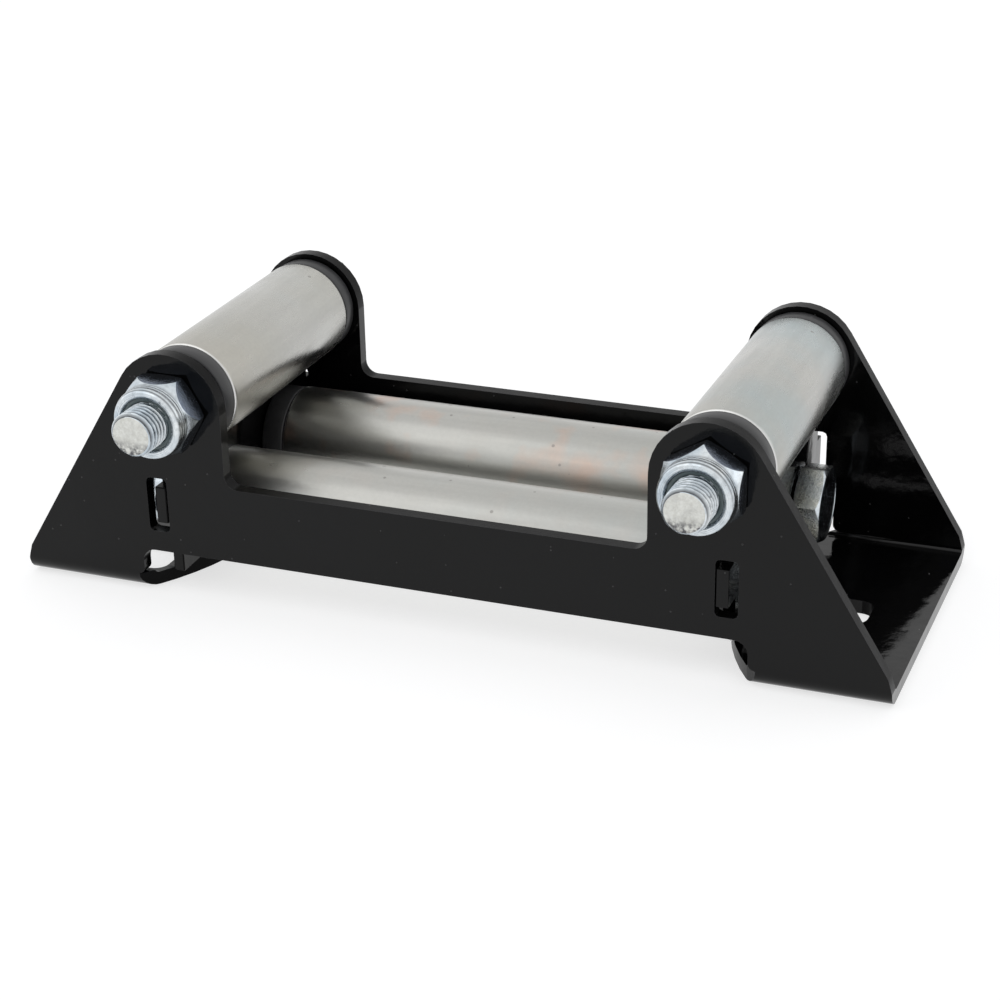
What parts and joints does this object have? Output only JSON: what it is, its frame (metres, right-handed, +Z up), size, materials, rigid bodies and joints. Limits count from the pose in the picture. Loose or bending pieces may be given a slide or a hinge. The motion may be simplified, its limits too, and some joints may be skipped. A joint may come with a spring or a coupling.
{
  "type": "roller fairlead",
  "caption": "Roller fairlead: folded steel channel with upright side rollers and low cross rollers on bolt axles, guiding a rope through its base.",
  "frame": {"origin": "on the mounting face, under the middle of the part's overall box, bolts and nuts included", "axes": "+X along the length towards the cross bolts' heads, +Y from the side nuts to the side bolts' heads, +Z up out of the mounting face"},
  "size_m": [0.196, 0.0964, 0.0562],
  "materials": {
    "frame_channel": "gloss black paint on steel sheet",
    "end_plate_left": "gloss black paint on steel sheet",
    "end_plate_right": "gloss black paint on steel sheet",
    "side_roller_left": "satin zinc plated steel tube",
    "side_bush_left_front": "charcoal moulded plastic",
    "side_bush_left_rear": "charcoal moulded plastic",
    "side_bolt_left": "bright zinc plated steel",
    "side_nut_left": "bright zinc plated steel",
    "side_insert_left": "dull blue-green nylon",
    "side_roller_right": "satin zinc plated steel tube",
    "side_bush_right_front": "charcoal moulded plastic",
    "side_bush_right_rear": "charcoal moulded plastic",
    "side_bolt_right": "bright zinc plated steel",
    "side_nut_right": "bright zinc plated steel",
    "side_insert_right": "dull blue-green nylon",
    "cross_roller_front": "satin zinc plated steel tube",
    "cross_bush_front_left": "charcoal moulded plastic",
    "cross_bush_front_right": "charcoal moulded plastic",
    "cross_bolt_front": "bright zinc plated steel",
    "cross_nut_front": "bright zinc plated steel",
    "cross_insert_front": "dull blue-green nylon",
    "cross_roller_rear": "satin zinc plated steel tube",
    "cross_bush_rear_left": "charcoal moulded plastic",
    "cross_bush_rear_right": "charcoal moulded plastic",
    "cross_bolt_rear": "bright zinc plated steel",
    "cross_nut_rear": "bright zinc plated steel",
    "cross_insert_rear": "dull blue-green nylon"
  },
  "bodies": {
    "channel": {"frame_channel": "frame_channel", "end_plate_left": "end_plate_left", "end_plate_right": "end_plate_right", "side_bolt_left": "side_bolt_left", "side_nut_left": "side_nut_left", "side_insert_left": "side_insert_left", "side_bolt_right": "side_bolt_right", "side_nut_right": "side_nut_right", "side_insert_right": "side_insert_right", "cross_bolt_front": "cross_bolt_front", "cross_nut_front": "cross_nut_front", "cross_insert_front": "cross_insert_front", "cross_bolt_rear": "cross_bolt_rear", "cross_nut_rear": "cross_nut_rear", "cross_insert_rear": "cross_insert_rear"},
    "left_side_roller": {"side_roller_left": "side_roller_left", "side_bush_left_front": "side_bush_left_front", "side_bush_left_rear": "side_bush_left_rear"},
    "right_side_roller": {"side_roller_right": "side_roller_right", "side_bush_right_front": "side_bush_right_front", "side_bush_right_rear": "side_bush_right_rear"},
    "front_cross_roller": {"cross_roller_front": "cross_roller_front", "cross_bush_front_left": "cross_bush_front_left", "cross_bush_front_right": "cross_bush_front_right"},
    "rear_cross_roller": {"cross_roller_rear": "cross_roller_rear", "cross_bush_rear_left": "cross_bush_rear_left", "cross_bush_rear_right": "cross_bush_rear_right"}
  },
  "joints": [
    {"name": "left_side_roller_spin", "type": "hinge", "parent": "channel", "child": "left_side_roller", "pos_m": [-0.0594, 0.0057, 0.044], "axis": [0, 1, 0], "continuous": true},
    {"name": "right_side_roller_spin", "type": "hinge", "parent": "channel", "child": "right_side_roller", "pos_m": [0.0594, 0.0057, 0.044], "axis": [0, 1, 0], "continuous": true},
    {"name": "front_cross_roller_spin", "type": "hinge", "parent": "channel", "child": "front_cross_roller", "pos_m": [0, -0.0142, 0.0171], "axis": [1, 0, 0], "continuous": true},
    {"name": "rear_cross_roller_spin", "type": "hinge", "parent": "channel", "child": "rear_cross_roller", "pos_m": [0, 0.0236, 0.0171], "axis": [1, 0, 0], "continuous": true}
  ]
}
